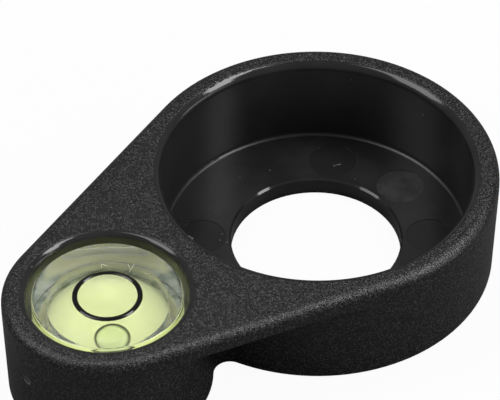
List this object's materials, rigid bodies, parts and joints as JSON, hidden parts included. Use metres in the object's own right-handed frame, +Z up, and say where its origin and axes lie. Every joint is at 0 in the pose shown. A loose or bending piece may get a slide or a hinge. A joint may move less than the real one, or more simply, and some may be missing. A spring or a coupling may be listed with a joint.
{
  "type": "bubble level",
  "caption": "Round bull's-eye bubble vial in a moulded teardrop holder, with a deep round recess and a through hole that fit over a column.",
  "frame": {"origin": "on the axis of the through hole, in the bottom plane of the holder", "axes": "+Z up along the hole's axis, +X from the hole towards the vial"},
  "size_m": [0.0691, 0.0456, 0.0145],
  "materials": {
    "holder_plastic": "black, spark-eroded grain outside, glossy inside the recess, hole and pocket",
    "clear_acrylic": "clear, polished",
    "white_plastic": "white, smooth",
    "level_liquid": "clear yellow-green liquid",
    "ring_paint": "black, glossy",
    "adhesive": "cured, translucent"
  },
  "bodies": {
    "root": {"holder": "holder_plastic", "vial_cap": "clear_acrylic", "vial_base": "white_plastic", "vial_liquid": "level_liquid", "target_ring": "ring_paint", "glue_bed": "adhesive"}
  },
  "joints": []
}
